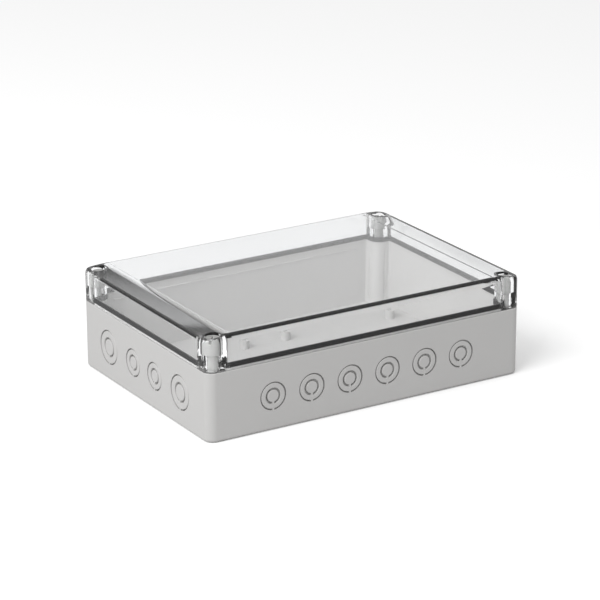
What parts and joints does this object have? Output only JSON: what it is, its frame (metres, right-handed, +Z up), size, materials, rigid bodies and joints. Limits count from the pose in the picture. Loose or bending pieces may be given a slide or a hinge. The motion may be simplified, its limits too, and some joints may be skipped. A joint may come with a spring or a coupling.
{
  "type": "hinged enclosure",
  "caption": "Shallow wall-mount plastic enclosure: grey base with knock-outs, clear hinged cover on jointed corner screws, black gasket.",
  "frame": {"origin": "centre of the underside of the base", "axes": "+X along the long sides, +Y towards the hinge side, +Z up through the cover"},
  "size_m": [0.255, 0.18, 0.075],
  "materials": {
    "base_plastic": "fine satin, moulded",
    "clear_cover": "clear, polished",
    "gasket_rubber": "soft, matt",
    "screw_plastic": "semi-gloss, moulded",
    "link_plastic": "satin, moulded"
  },
  "bodies": {
    "base": {"base_shell": "base_plastic"},
    "hinge_links": {"left_hinge_link": "link_plastic", "right_hinge_link": "link_plastic", "left_hinge_pin": "link_plastic", "right_hinge_pin": "link_plastic"},
    "cover": {"cover_shell": "clear_cover", "cover_gasket": "gasket_rubber", "rear_left_hinge_stem": "link_plastic", "rear_right_hinge_stem": "link_plastic"},
    "front_left_screw": {"front_left_screw": "screw_plastic"},
    "front_right_screw": {"front_right_screw": "screw_plastic"},
    "rear_left_screw_head": {"rear_left_screw_head": "screw_plastic"},
    "rear_right_screw_head": {"rear_right_screw_head": "screw_plastic"}
  },
  "joints": [
    {"name": "link_lift", "type": "slide", "parent": "base", "child": "hinge_links", "axis": [0, 0, 1], "range_m": [0, 0.02]},
    {"name": "cover_swing", "type": "hinge", "parent": "hinge_links", "child": "cover", "pos_m": [0, 0.081, 0.0455], "axis": [-1, 0, 0], "range_deg": [0, 95]},
    {"name": "front_left_screw_turn", "type": "hinge", "parent": "cover", "child": "front_left_screw", "pos_m": [-0.1185, -0.081, 0.066], "axis": [0, 0, 1], "range_deg": [0, 90]},
    {"name": "front_right_screw_turn", "type": "hinge", "parent": "cover", "child": "front_right_screw", "pos_m": [0.1185, -0.081, 0.066], "axis": [0, 0, 1], "range_deg": [0, 90]},
    {"name": "rear_left_screw_head_turn", "type": "hinge", "parent": "cover", "child": "rear_left_screw_head", "pos_m": [-0.1185, 0.081, 0.066], "axis": [0, 0, 1], "range_deg": [0, 90]},
    {"name": "rear_right_screw_head_turn", "type": "hinge", "parent": "cover", "child": "rear_right_screw_head", "pos_m": [0.1185, 0.081, 0.066], "axis": [0, 0, 1], "range_deg": [0, 90]}
  ],
  "couplings": [
    {"joint": "link_lift", "follows": "cover_swing", "m_per_rad": 0.012062}
  ]
}
